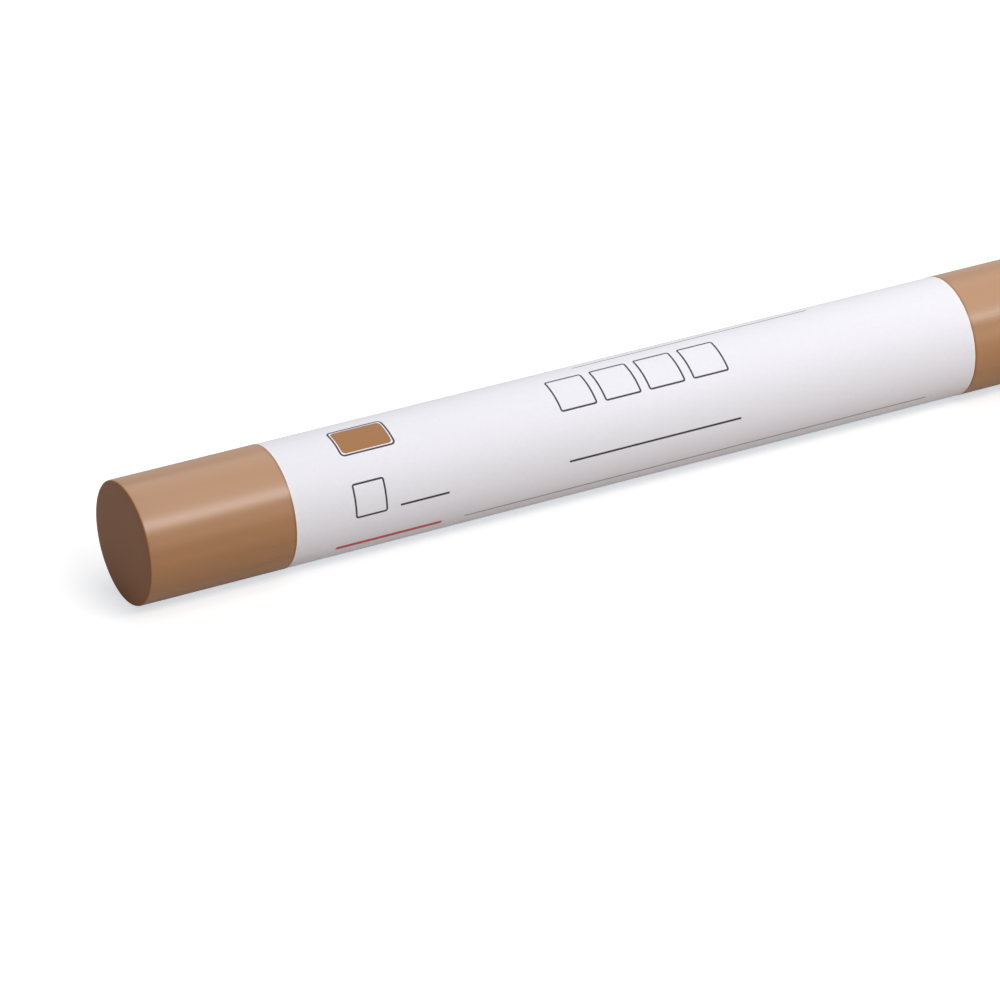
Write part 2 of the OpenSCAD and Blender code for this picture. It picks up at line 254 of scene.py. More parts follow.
# %% Satin polypropylene, wear
RUBBED_AND_SHADED_DEPTH, SCUFF_ROUGHNESS = 0.15, 0.6  # millimetres of each end that are rubbed and painted darker as shade, and how rough
LABEL_EDGE_SHADOW, LABEL_EDGE_SHADOW_SHARE = 0.3, 0.55  # millimetres beside the label that hold a painted shadow of its edge, and how dark it gets
label_x, label_end, _ = reach("label")
along = add(tree, "ShaderNodeSeparateXYZ", {"Vector": spot}).outputs["X"]
far_out = add(tree, "ShaderNodeMath", {0: along}, operation="ABSOLUTE")
# The ends are rubbed to a rougher gloss, and their darker brown is painted shade.
rubbed_and_shaded = add(tree, "ShaderNodeMapRange", {"Value": far_out, "From Min": (-tail_x - RUBBED_AND_SHADED_DEPTH) * MM,
                                           "From Max": (-tail_x - RUBBED_AND_SHADED_DEPTH / 3) * MM})
tint = add(tree, "ShaderNodeMix", {"Factor": rubbed_and_shaded, "A": tint, "B": linear("#875733")}, data_type="RGBA")
# Painted shadow: a thin dark line on the brown beside each edge of the label.
for edge in (label_x, label_end):
    away = add(tree, "ShaderNodeMath", {0: along, 1: edge * MM}, operation="SUBTRACT")
    away = add(tree, "ShaderNodeMath", {0: away}, operation="ABSOLUTE")
    label_edge_shadow = add(tree, "ShaderNodeMapRange", {"Value": away, "From Min": LABEL_EDGE_SHADOW * MM,
                                             "From Max": LABEL_EDGE_SHADOW / 4 * MM, "To Max": LABEL_EDGE_SHADOW_SHARE})
    tint = add(tree, "ShaderNodeMix", {"Factor": label_edge_shadow, "A": tint, "B": linear("#5e3d24")}, data_type="RGBA")
gloss = add(tree, "ShaderNodeMix", {"Factor": rubbed_and_shaded, "A": gloss, "B": SCUFF_ROUGHNESS})
unrubbed = add(tree, "ShaderNodeMath", {0: 1.0, 1: rubbed_and_shaded}, operation="SUBTRACT")
relief = add(tree, "ShaderNodeMath", {0: streaks, 1: unrubbed}, operation="MULTIPLY")
bump = add(tree, "ShaderNodeBump", {"Height": relief, "Strength": 1.0, "Distance": STREAK_RISE * MM})
fill(tree, shader, {"Base Color": tint, "Roughness": gloss, "Normal": bump, "IOR": 1.55})
print(brown_plastic.name, "has", len(tree.nodes), "nodes")

# %% [markdown]
# ## Turning pieces on a lathe
# Nearly every piece of the marker is round, so it is one profile turned about the marker's axis.
# Blender's Screw modifier could do that. A Geometry Nodes lathe gives the same for every piece and keeps
# its sizes as named inputs: it lays out a grid with one row for each point of the profile and one
# column for each step round the axis, and moves each grid point to its place. Merging by distance
# then closes the seam and the poles.

# %% Opening and closing a tree
CREASE = 28.0  # degrees between two faces, above which their edge is sharp


def new_tree(name, sockets):
    """An empty Geometry Nodes tree with the named inputs, and those inputs as sockets."""
    tree = bpy.data.node_groups.new(name, "GeometryNodeTree")
    tree.interface.new_socket("Geometry", in_out="OUTPUT", socket_type="NodeSocketGeometry")
    for label, kind in sockets.items():
        tree.interface.new_socket(label, in_out="INPUT", socket_type="NodeSocket" + kind)
    return tree, tree.nodes.new("NodeGroupInput").outputs


def close_tree(tree, mesh, material):
    """Shades the mesh smooth except at creases, and ends the tree with its material."""
    smooth = add(tree, "GeometryNodeSetShadeSmooth", {"Geometry": mesh, "Shade Smooth": True}, domain="FACE")
    angle = add(tree, "GeometryNodeInputMeshEdgeAngle")
    sharp = add(tree, "FunctionNodeCompare", {"A": angle, "B": math.radians(CREASE)},
                data_type="FLOAT", operation="GREATER_THAN")
    creased = add(tree, "GeometryNodeSetShadeSmooth",
                  {"Geometry": smooth, "Selection": sharp, "Shade Smooth": False}, domain="EDGE")
    real = add(tree, "GeometryNodeRealizeInstances", {"Geometry": creased})
    done = add(tree, "GeometryNodeSetMaterial", {"Geometry": real, "Material": material})
    add(tree, "NodeGroupOutput", {"Geometry": done})
    print(tree.name, "tree has", len(tree.nodes), "nodes")


print("edges of more than", CREASE, "degrees stay sharp")

# %% Lathe tree
WELD = 0.001  # millimetres within which points become one


def swing(tree, arm, turn, axis_height):
    """A place that is given from the axis, turned about the axis and lifted to its height."""
    turned = add(tree, "ShaderNodeVectorRotate", {"Vector": arm, "Angle": turn}, rotation_type="X_AXIS")
    axis = add(tree, "ShaderNodeCombineXYZ", {"Z": axis_height})
    return add(tree, "ShaderNodeVectorMath", {0: turned, 1: axis}, operation="ADD")


lathe, given = new_tree("lathe", {"Geometry": "Geometry", "Steps": "Int", "Axis Height": "Float",
                                  "Material": "Material"})
rows = add(lathe, "GeometryNodeAttributeDomainSize", {"Geometry": given["Geometry"]}).outputs["Point Count"]
columns = add(lathe, "FunctionNodeIntegerMath", {0: given["Steps"], 1: 1}, operation="ADD")
sheet = add(lathe, "GeometryNodeMeshGrid", {"Vertices X": rows, "Vertices Y": columns})
number = add(lathe, "GeometryNodeInputIndex")
row = add(lathe, "FunctionNodeIntegerMath", {0: number, 1: columns}, operation="DIVIDE_FLOOR")
column = add(lathe, "FunctionNodeIntegerMath", {0: number, 1: columns}, operation="MODULO")
share = add(lathe, "ShaderNodeMath", {0: column, 1: given["Steps"]}, operation="DIVIDE")
turn = add(lathe, "ShaderNodeMath", {0: share, 1: -2 * math.pi}, operation="MULTIPLY")
place = add(lathe, "GeometryNodeInputPosition")
point = add(lathe, "GeometryNodeSampleIndex", {"Geometry": given["Geometry"], "Value": place, "Index": row},
            data_type="FLOAT_VECTOR")
turned = swing(lathe, point, turn, given["Axis Height"])
moved = add(lathe, "GeometryNodeSetPosition", {"Geometry": sheet, "Position": turned})
welded = add(lathe, "GeometryNodeMergeByDistance", {"Geometry": moved, "Distance": WELD * MM})
close_tree(lathe, welded, given["Material"])

# %% [markdown]
# ## From a tree to a piece
# A tree works inside a modifier, and the modifier's inputs are set by each socket's identifier before
# Blender evaluates it. The evaluated result is then copied into a plain mesh, because a plain mesh can
# be exported and posed. Each finished piece stands for its CAD node: it rides on the same body, and the
# CAD node is hidden.

# %% Growing and turning a mesh
def grow(name, tree, sizes, start=None):
    """The plain mesh that a tree makes from a start mesh and its named sizes."""
    seed = bpy.data.objects.new(name, start or bpy.data.meshes.new(name))
    bpy.context.scene.collection.objects.link(seed)
    modifier = seed.modifiers.new(tree.name, "NODES")
    modifier.node_group = tree
    for socket in tree.interface.items_tree:
        if socket.in_out == "INPUT" and socket.name in sizes:
            modifier[socket.identifier] = sizes[socket.name]
    view = bpy.context.evaluated_depsgraph_get()
    grown = seed.evaluated_get(view)
    mesh = bpy.data.meshes.new_from_object(grown, preserve_all_data_layers=True, depsgraph=view)
    bpy.data.objects.remove(seed)
    mesh.name = name
    return mesh


def turn_profile(name, profile, material, steps=128, height=axis_z, longest=2.0):
    """Turns a profile of (along, radius) points, in millimetres. Outside walls run towards +X."""
    points = [profile[0]]
    for a, b in zip(profile, profile[1:]):
        parts = max(1, math.ceil(math.dist(a, b) / longest))
        points += [tuple(p + (q - p) * i / parts for p, q in zip(a, b)) for i in range(1, parts + 1)]
    edges = [(i, i + 1) for i in range(len(points) - 1)]
    start = bpy.data.meshes.new(name)
    start.from_pydata([(x * MM, 0, r * MM) for x, r in points], edges, [])
    return grow(name, lathe, {"Steps": steps, "Axis Height": height * MM, "Material": material}, start)


def arc(along, radius, round_r, start, end, parts=6):
    """Points of a rounded edge. Angles are in degrees, 0 towards +X and 90 away from the axis."""
    angles = [math.radians(start + (end - start) * i / parts) for i in range(parts + 1)]
    return [(along + round_r * math.cos(a), radius + round_r * math.sin(a)) for a in angles]


print("a rounded edge has", len(arc(0.0, 0.0, 1.0, 90, 0)), "points")

# %% Standing for a CAD node
BODY_OF = {node: body for body, nodes in frame["record"]["behaviour"]["bodies"].items() for node in nodes}
print(len(BODY_OF), "nodes ride on", ", ".join(sorted(set(BODY_OF.values()))))


def stand_for(node, mesh):
    """A piece with this mesh takes the place of a CAD node."""
    piece = bpy.data.objects.new(node + "_piece", mesh)
    bpy.context.scene.collection.objects.link(piece)
    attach(piece, BODY_OF[node])
    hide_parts(node)
    print(piece.name, "has", len(mesh.polygons), "faces and rides on", BODY_OF[node])
    return piece


# %% [markdown]
# ## Barrel
# The barrel is one moulding: a closed flat tail, a long bore for the paint, and a shallow seat that
# lets the label lie flush. A cylinder could be cut and bevelled to this, step by step. A profile keeps
# every radius in one list instead: it starts at the middle of the tail, runs along the outside to the
# seam, and comes back along the bore, past the groove that holds the plug of the nib holder.

# %% Barrel
BORE_R = 4.7
TAIL_WALL = 1.6
EDGE_R = 0.2  # rounded edges of the tail and of the seam
INNER_FILLET = 0.8
PAPER = 0.1  # thickness of the label
PRESS_GAP = 0.02  # room between two pieces that are pressed or glued together
BEAD_RISE, BEAD_ROUND = 0.15, 0.5  # snap beads and the grooves that they sit in


def bead(along, radius, gap=0.0, backwards=False):
    """Points of a snap bead on a wall of this radius, or of its groove, which is larger by the gap."""
    centre = radius + BEAD_RISE - BEAD_ROUND
    half = math.degrees(math.acos((radius - centre) / (BEAD_ROUND + gap)))
    points = arc(along, centre, BEAD_ROUND + gap, 90 + half, 90 - half, parts=8)
    return points[::-1] if backwards else points


holder_x, holder_end, _ = reach("nib_holder")
plug_bead_x = front_x - (front_x - holder_x) / 4  # a quarter of the plug behind the seam
inside_x = tail_x + TAIL_WALL
label_inner_r = barrel_r - PRESS_GAP - PAPER
seat_r = label_inner_r - PRESS_GAP
seat_x, seat_end = label_x - PRESS_GAP, label_end + PRESS_GAP
barrel_profile = (
    [(tail_x, 0.0)]
    + arc(tail_x + EDGE_R, barrel_r - EDGE_R, EDGE_R, 180, 90)
    + [(seat_x, barrel_r), (seat_x, seat_r), (seat_end, seat_r), (seat_end, barrel_r)]
    + arc(front_x - EDGE_R, barrel_r - EDGE_R, EDGE_R, 90, 0)
    + [(front_x, BORE_R)]
    + bead(plug_bead_x, BORE_R, PRESS_GAP, backwards=True)
    + arc(inside_x + INNER_FILLET, BORE_R - INNER_FILLET, INNER_FILLET, 90, 180)
    + [(inside_x, 0.0)]
)
stand_for("barrel", turn_profile("barrel_shell", barrel_profile, brown_plastic))

# %% [markdown]
# ## Cap
# The cap is a second brown moulding of the same diameter. Inside it, six thin ribs centre the soft
# liner. They could be drawn one by one, but a change to them would then have to be made six times. So
# one rib is drawn as a block, and a Geometry Nodes tree repeats it round the axis and joins the ring to
# the turned shell. The same tree with a cutting operation will serve the pieces with grooves and
# windows.

# %% Ring trees
def ring_tree(name, operation):
    """A tree that joins a ring of copies of a tool to a body, or cuts it out of the body."""
    tree, given = new_tree(name, {"Geometry": "Geometry", "Tool": "Object", "Count": "Int",
                                  "Axis Height": "Float", "Material": "Material"})
    tool = add(tree, "GeometryNodeObjectInfo", {"Object": given["Tool"]}).outputs["Geometry"]
    axis = add(tree, "ShaderNodeCombineXYZ", {"Z": given["Axis Height"]})
    points = add(tree, "GeometryNodePoints", {"Count": given["Count"], "Position": axis})
    number = add(tree, "GeometryNodeInputIndex")
    share = add(tree, "ShaderNodeMath", {0: number, 1: given["Count"]}, operation="DIVIDE")
    turn = add(tree, "ShaderNodeMath", {0: share, 1: 2 * math.pi}, operation="MULTIPLY")
    turned = add(tree, "ShaderNodeCombineXYZ", {"X": turn})
    copies = add(tree, "GeometryNodeInstanceOnPoints",
                 {"Points": points, "Instance": tool, "Rotation": turned})
    tools = add(tree, "GeometryNodeRealizeInstances", {"Geometry": copies})
    shaped = add(tree, "GeometryNodeMeshBoolean", operation=operation, solver="EXACT")
    # A difference has a socket for the body alone, and a union takes all its meshes in one socket.
    fill(tree, shaped, {"Mesh 1" if operation == "DIFFERENCE" else "Mesh 2": given["Geometry"]})
    fill(tree, shaped, {"Mesh 2": tools})
    close_tree(tree, shaped, given["Material"])
    return tree


def ring(name, tree, body, tool, count, material):
    """The body's mesh after a ring of tools was joined to it or cut out of it."""
    tool_object = bpy.data.objects.new(name + "_tool", tool)
    bpy.context.scene.collection.objects.link(tool_object)
    sizes = {"Tool": tool_object, "Count": count, "Axis Height": axis_z * MM, "Material": material}
    mesh = grow(name, tree, sizes, body)
    bpy.data.objects.remove(tool_object)
    return mesh


ring_join = ring_tree("ring_join", "UNION")
ring_cut = ring_tree("ring_cut", "DIFFERENCE")

# %% Cap
CAP_BORE_R = 5.2
CAP_END_WALL = 1.2
CAP_EDGE_R = 0.5
MOUTH_CHAMFER = 0.3
RIB_COUNT, RIB_WIDTH = 6, 0.8
RIB_ROOT = 0.2  # how far a rib runs into the wall
GATE_R, GATE_DEPTH = 0.9, 0.12  # dimple in the end, where the mould was filled


def block(name, low, high):
    """A box between two corners, in millimetres. Three bits of a corner's number choose low or high."""
    corners = [[(low, high)[i >> axis & 1][axis] * MM for axis in range(3)] for i in range(8)]
    sides = [(0, 2, 3, 1), (4, 5, 7, 6), (0, 1, 5, 4), (2, 6, 7, 3), (0, 4, 6, 2), (1, 3, 7, 5)]
    mesh = bpy.data.meshes.new(name)
    mesh.from_pydata(corners, [], sides)
    return mesh


mouth_x, cap_end, cap_r = reach("cap")
liner_mouth, liner_end, liner_r = reach("cap_liner")
cap_inside = cap_end - CAP_END_WALL
cap_profile = (
    [(cap_inside, 0.0), (cap_inside, CAP_BORE_R), (mouth_x + MOUTH_CHAMFER, CAP_BORE_R),
     (mouth_x, CAP_BORE_R + MOUTH_CHAMFER)]
    + arc(mouth_x + EDGE_R, cap_r - EDGE_R, EDGE_R, 180, 90)
    + arc(cap_end - CAP_EDGE_R, cap_r - CAP_EDGE_R, CAP_EDGE_R, 90, 0, parts=8)
    + [(cap_end, GATE_R + GATE_DEPTH), (cap_end - GATE_DEPTH, GATE_R), (cap_end - GATE_DEPTH, 0.0)]
)
cap_shell = turn_profile("cap_shell", cap_profile, brown_plastic)
rib = block("cap_rib", low=(liner_mouth, -RIB_WIDTH / 2, liner_r + PRESS_GAP),
            high=(cap_inside + RIB_ROOT, RIB_WIDTH / 2, CAP_BORE_R + RIB_ROOT))
stand_for("cap", ring("cap_with_ribs", ring_join, cap_shell, rib, RIB_COUNT, brown_plastic))

# %% [markdown]
# ## Label paper
# The label is matt coated paper, white, a little cool in tone, with hardly any sheen. Close up it has
# a faint fibre cloud. At its cut ends a thin pale, warm line is a painted highlight of the paper's
# edge catching the light. The print is plain: a framed chip of the paint's colour, a box to tick, a row
# of boxes to write in, two rules to write on, a red bar and two thin grey lines. Thin flat meshes could
# be laid on the paper for that, but ink has no height. So it is drawn in the material as soft-edged
# boxes with round corners, on an attribute that holds each point's place on the flat sheet in millimetres.

# %% Coated label paper
FIBRE = 0.5  # millimetres; real fibres are finer and wouldn't show
FIBRE_RISE = 0.004  # millimetres
CUT_END_HIGHLIGHT = 0.2  # millimetres of painted highlight at each cut end of the paper
label_length = label_end - label_x
label_paper, tree, shader = start_material("coated_label_paper")
flat = add(tree, "ShaderNodeAttribute", attribute_name="sheet_mm").outputs["Vector"]
cloud = add(tree, "ShaderNodeTexNoise", {"Vector": flat, "Scale": 1 / FIBRE, "Detail": 4.0})
tint = add(tree, "ShaderNodeMix", {"Factor": cloud, "A": linear("#dfdee4"), "B": linear("#e5e4ea")},
           data_type="RGBA")
along = add(tree, "ShaderNodeSeparateXYZ", {"Vector": flat}).outputs["X"]
from_middle = add(tree, "ShaderNodeMath", {0: along, 1: label_length / 2}, operation="SUBTRACT")
from_middle = add(tree, "ShaderNodeMath", {0: from_middle}, operation="ABSOLUTE")
# Painted highlight: a thin pale, warm line where each cut end of the paper would catch the light.
cut = add(tree, "ShaderNodeMapRange", {"Value": from_middle, "From Min": label_length / 2 - CUT_END_HIGHLIGHT,
                                       "From Max": label_length / 2 - CUT_END_HIGHLIGHT / 2})
tint = add(tree, "ShaderNodeMix", {"Factor": cut, "A": tint, "B": linear("#f0e6de")}, data_type="RGBA")
bump = add(tree, "ShaderNodeBump", {"Height": cloud, "Strength": 1.0, "Distance": FIBRE_RISE * MM})
fill(tree, shader, {"Normal": bump, "IOR": 1.45, "Specular IOR Level": 0.2, "Roughness": 0.5})
print(label_paper.name, "covers", round(label_length, 2), "mm of the barrel")

# %% Plain print
INK_EDGE = 0.03  # millimetres over which the ink fades into the paper
BLACK_INK, GREY_INK, RED_INK, PAINT_INK = "#3c3b41", "#85848b", "#c2545a", "#9c6e46"
BOX_COUNT, BOX_FIRST, BOX_PITCH, BOX_LINE = 4, 31.0, 4.8, 0.22
# Each mark: middle along and across the sheet, half length, half width, corner radius, line width, ink.
# A line width of 0 stands for a solid mark.
PRINT = [
    (9.0, 17.4, 2.6, 1.5, 0.4, 0, PAINT_INK),  # chip of the paint's colour
    (9.0, 17.4, 2.9, 1.8, 0.5, BOX_LINE, BLACK_INK),  # its frame
    (7.8, 23.6, 1.7, 1.7, 0.3, BOX_LINE, BLACK_INK),  # box to tick
    (13.4, 25.0, 2.6, 0.12, 0.1, 0, BLACK_INK),  # short rule beside the box
    (38.2, 25.0, 9.4, 0.12, 0.1, 0, BLACK_INK),  # long rule to write on
    (10.0, 28.6, 5.6, 0.25, 0.2, 0, RED_INK),  # red bar
    (43.5, 28.6, 25.5, 0.1, 0.1, 0, GREY_INK),  # thin line that goes on from it
    (46.0, 14.6, 13.0, 0.1, 0.1, 0, GREY_INK),  # thin line over the row of boxes
]
for i in range(BOX_COUNT):  # a row of boxes to write a colour number in
    PRINT.append((BOX_FIRST + BOX_PITCH * i, 18.2, 2.0, 2.0, 0.3, BOX_LINE, BLACK_INK))
for middle_x, middle_y, half_x, half_y, corner, line, ink in PRINT:
    core = (half_x - corner, half_y - corner, 0)
    off = add(tree, "ShaderNodeVectorMath", {0: flat, 1: (middle_x, middle_y, 0)}, operation="SUBTRACT")
    off = add(tree, "ShaderNodeVectorMath", {0: off}, operation="ABSOLUTE")
    off = add(tree, "ShaderNodeVectorMath", {0: off, 1: core}, operation="SUBTRACT")
    off = add(tree, "ShaderNodeVectorMath", {0: off, 1: (0, 0, 0)}, operation="MAXIMUM")
    off = add(tree, "ShaderNodeVectorMath", {0: off}, operation="LENGTH")
    inked = add(tree, "ShaderNodeMapRange", {"Value": off, "From Min": corner, "From Max": corner - INK_EDGE})
    if line:
        beyond = add(tree, "ShaderNodeMapRange", {"Value": off, "From Min": corner - line,
                                                  "From Max": corner - line + INK_EDGE})
        inked = add(tree, "ShaderNodeMath", {0: inked, 1: beyond}, operation="MULTIPLY")
    tint = add(tree, "ShaderNodeMix", {"Factor": inked, "A": tint, "B": linear(ink)}, data_type="RGBA")
fill(tree, shader, {"Base Color": tint})
print(label_paper.name, "prints", len(PRINT), "plain marks")

# %% [markdown]
# ## Label
# The real label is a flat sheet that is wound once round the barrel and glued over its own first edge,
# low at the back. A plain tube would show no such lap. The tree does what the hand does: it makes a
# flat grid, stores each point's place on the sheet, rolls the grid up, lifts the last few millimetres
# over the first edge and gives the paper its thickness.

# %% Label tree, the flat sheet
SHEET_POINTS = (75, 250)  # along the barrel and round it
wound, given = new_tree("wound_label", {
    "Length": "Float", "Inner Radius": "Float", "Paper": "Float", "Lap": "Float", "Climb": "Float",
    "Start Angle": "Float", "Start X": "Float", "Axis Height": "Float", "Material": "Material"})
middle_r = add(wound, "ShaderNodeMath", {0: given["Paper"], 1: 0.5, 2: given["Inner Radius"]},
               operation="MULTIPLY_ADD")
once_round = add(wound, "ShaderNodeMath", {0: middle_r, 1: 2 * math.pi}, operation="MULTIPLY")
width = add(wound, "ShaderNodeMath", {0: once_round, 1: given["Lap"]}, operation="ADD")
sheet = add(wound, "GeometryNodeMeshGrid", {"Size X": given["Length"], "Size Y": width,
                                            "Vertices X": SHEET_POINTS[0], "Vertices Y": SHEET_POINTS[1]})
place = add(wound, "ShaderNodeSeparateXYZ", {"Vector": add(wound, "GeometryNodeInputPosition")}).outputs
along = add(wound, "ShaderNodeMath", {0: given["Length"], 1: 0.5, 2: place["X"]}, operation="MULTIPLY_ADD")
across = add(wound, "ShaderNodeMath", {0: width, 1: 0.5, 2: place["Y"]}, operation="MULTIPLY_ADD")
corner = add(wound, "ShaderNodeCombineXYZ", {"X": along, "Y": across})
in_mm = add(wound, "ShaderNodeVectorMath", {0: corner, "Scale": 1 / MM}, operation="SCALE")
sheet = add(wound, "GeometryNodeStoreNamedAttribute", {"Geometry": sheet, "Name": "sheet_mm", "Value": in_mm},
            data_type="FLOAT_VECTOR", domain="POINT")
print("the sheet has", SHEET_POINTS[0] * SHEET_POINTS[1], "points")

# %% Label tree, the winding
climb_from = add(wound, "ShaderNodeMath", {0: once_round, 1: given["Climb"]}, operation="SUBTRACT")
lifted = add(wound, "ShaderNodeMapRange", {"Value": across, "From Min": climb_from, "From Max": once_round,
                                           "To Max": given["Paper"]}, interpolation_type="SMOOTHSTEP")
radius = add(wound, "ShaderNodeMath", {0: lifted, 1: given["Inner Radius"]}, operation="ADD")
turn = add(wound, "ShaderNodeMath", {0: across, 1: middle_r}, operation="DIVIDE")
turn = add(wound, "ShaderNodeMath", {0: turn, 1: given["Start Angle"]}, operation="ADD")
forward = add(wound, "ShaderNodeMath", {0: along, 1: given["Start X"]}, operation="ADD")
down = add(wound, "ShaderNodeMath", {0: radius, 1: -1.0}, operation="MULTIPLY")
arm = add(wound, "ShaderNodeCombineXYZ", {"X": forward, "Z": down})
rolled = swing(wound, arm, turn, given["Axis Height"])
inner = add(wound, "GeometryNodeSetPosition", {"Geometry": sheet, "Position": rolled})
outer = add(wound, "GeometryNodeFlipFaces", {"Mesh": inner})
outer = add(wound, "GeometryNodeExtrudeMesh",
            {"Mesh": outer, "Offset Scale": given["Paper"], "Individual": False}, mode="FACES")
both = add(wound, "GeometryNodeJoinGeometry", {"Geometry": inner})
fill(wound, both, {"Geometry": outer})
closed = add(wound, "GeometryNodeMergeByDistance", {"Geometry": both, "Distance": WELD * MM})
close_tree(wound, closed, given["Material"])

# %% Label
LAP = 4.0
CLIMB = 0.6  # millimetres over which the paper climbs onto its first edge
LAP_MIDDLE = 45.0  # degrees from straight down towards the back
lap_start = math.radians(LAP_MIDDLE) - LAP / 2 / barrel_r
stand_for("label", grow("wound_paper", wound, {
    "Length": label_length * MM, "Inner Radius": label_inner_r * MM, "Paper": PAPER * MM, "Lap": LAP * MM,
    "Climb": CLIMB * MM, "Start Angle": lap_start, "Start X": label_x * MM, "Axis Height": axis_z * MM,
    "Material": label_paper}))

# %% [markdown]
# ## Ivory plastic of the nib holder
# The holder is polypropylene without colour, ivory and less glossy than the barrel because its mould is
# only spark finished. The paint has crept out of the nib bore and dried as a brown ring on the mouth of
# the nose. The ring needs no mesh of its own: it follows the distance from the mouth, and a noise makes
# its edge uneven.

# %% Ivory polypropylene
GRIT, GRIT_RISE = 0.12, 0.004  # millimetres between the pits of the spark finish, and their depth
CLOUD = 3.0  # millimetres across the faint clouds in its colour
ivory_plastic, tree, shader = start_material("spark_finished_polypropylene")
spot = add(tree, "ShaderNodeTexCoord").outputs["Object"]
pits = add(tree, "ShaderNodeTexNoise", {"Vector": spot, "Scale": 1 / (GRIT * MM), "Detail": 2.0})
clouds = add(tree, "ShaderNodeTexNoise", {"Vector": spot, "Scale": 1 / (CLOUD * MM), "Detail": 2.0})
tint = add(tree, "ShaderNodeMix", {"Factor": clouds, "A": linear("#d9d2c4"), "B": linear("#e2dcd0")},
           data_type="RGBA")
gloss = add(tree, "ShaderNodeMapRange", {"Value": pits, "To Min": 0.42, "To Max": 0.58})
bump = add(tree, "ShaderNodeBump", {"Height": pits, "Strength": 1.0, "Distance": GRIT_RISE * MM})
fill(tree, shader, {"Roughness": gloss, "Normal": bump, "IOR": 1.49})
print(ivory_plastic.name, "has pits", GRIT, "mm apart")

# %% Dried paint on the nose
STAIN, STAIN_FADE = 0.55, 0.2  # millimetres back from the mouth, and its soft edge
STAIN_WAVE, WAVE_LENGTH = 0.5, 1.2  # millimetres by which the edge wanders, and over what length
stain_x = holder_end - STAIN + STAIN_WAVE / 2
along = add(tree, "ShaderNodeSeparateXYZ", {"Vector": spot}).outputs["X"]
ragged = add(tree, "ShaderNodeTexNoise", {"Vector": spot, "Scale": 1 / (WAVE_LENGTH * MM), "Detail": 1.0})
edge = add(tree, "ShaderNodeMath", {0: ragged, 1: STAIN_WAVE * MM, 2: along}, operation="MULTIPLY_ADD")
stain = add(tree, "ShaderNodeMapRange", {"Value": edge, "From Min": stain_x * MM,
                                         "From Max": (stain_x + STAIN_FADE) * MM})
tint = add(tree, "ShaderNodeMix", {"Factor": stain, "A": tint, "B": linear("#8a5a34")}, data_type="RGBA")
fill(tree, shader, {"Base Color": tint})
print(ivory_plastic.name, "is stained over about", STAIN, "mm")

# %% [markdown]
# ## Nib holder
# The holder plugs the barrel, carries the cap on its collar and guides the nib in its nose. It is turned
# like the barrel. Six narrow grooves along the nib bore let the paint and the air past the nib. A lathe
# can't make those, because they don't run all the way round, so the ring tree cuts them.

# %% Nib holder
PLUG_BORE_R, PLUG_CHAMFER = 3.68, 0.3
NOSE_R, NOSE_EDGE_R, NIB_BORE_R = 3.8, 0.5, 2.55
COLLAR_R, COLLAR_LENGTH, CONE_LENGTH = 5.0, 9.0, 4.0
GROOVE_R, GROOVE_COUNT = 0.45, 6
OVERRUN = 0.2  # how far a cutting tool runs past the end of its cut
TOOL = {"steps": 24, "longest": 50.0}  # a straight cutting tool needs few faces
seal_x, seal_end, seal_r = reach("valve_seal")
plug_r = BORE_R - PRESS_GAP
cage_bead_x = (holder_x + seal_x) / 2  # the middle of the cage's rim
collar_end = front_x + COLLAR_LENGTH
holder_profile = (
    [(holder_x, PLUG_BORE_R), (holder_x, plug_r - PLUG_CHAMFER), (holder_x + PLUG_CHAMFER, plug_r)]
    + bead(plug_bead_x, plug_r)
    + [(front_x, plug_r), (front_x, COLLAR_R)]
    + bead((front_x + collar_end) / 2, COLLAR_R)
    + [(collar_end, COLLAR_R), (collar_end + CONE_LENGTH, NOSE_R)]
    + arc(holder_end - NOSE_EDGE_R, NOSE_R - NOSE_EDGE_R, NOSE_EDGE_R, 90, 0, parts=8)
    + [(holder_end, NIB_BORE_R), (seal_end, NIB_BORE_R), (seal_end, PLUG_BORE_R)]
    + bead(cage_bead_x, PLUG_BORE_R, PRESS_GAP, backwards=True)
    + [(holder_x, PLUG_BORE_R)]
)
holder_body = turn_profile("holder_body", holder_profile, ivory_plastic)
groove_x, groove_end = seal_end - OVERRUN, holder_end + OVERRUN
groove_profile = [(groove_x, 0.0), (groove_x, GROOVE_R), (groove_end, GROOVE_R), (groove_end, 0.0)]
groove = turn_profile("groove_tool", groove_profile, ivory_plastic, height=NIB_BORE_R, **TOOL)
stand_for("nib_holder", ring("grooved_holder", ring_cut, holder_body, groove, GROOVE_COUNT, ivory_plastic))

# %% [markdown]
# ## Felt of the nib
# The nib is polyester fibre that is bonded and ground to a bullet. The fibres run along it, the paint
# stains it brown and its point is the wettest and darkest part. Noise stretched along X gives the
# fibres, and a little sheen gives the soft edge that fibre has against the light. Hair particles would
# be truer up close, but a ground nib is too smooth to show them.

# %% Ground felt
STRANDS = (1.0, 0.12, 0.12)  # millimetres; real fibres are about 0.03 mm thick and wouldn't show
STRAND_RISE = 0.025  # millimetres
WET_LENGTH, WET_SHARE = 4.0, 0.7  # millimetres of the point that are wetter, and how dark they get
nib_x, nib_tip, nib_r = reach("nib")
felt, tree, shader = start_material("ground_polyester_felt")
spot = add(tree, "ShaderNodeTexCoord").outputs["Object"]
stretched = add(tree, "ShaderNodeMapping", {"Vector": spot, "Scale": [1 / (s * MM) for s in STRANDS]})
strands = add(tree, "ShaderNodeTexNoise", {"Vector": stretched, "Scale": 1.0, "Detail": 3.0})
tone = add(tree, "ShaderNodeMapRange", {"Value": strands, "From Min": NOISE_LOW, "From Max": NOISE_HIGH})
tint = add(tree, "ShaderNodeMix", {"Factor": tone, "A": linear("#8a5c3c"), "B": linear("#9b6e4b")},
           data_type="RGBA")
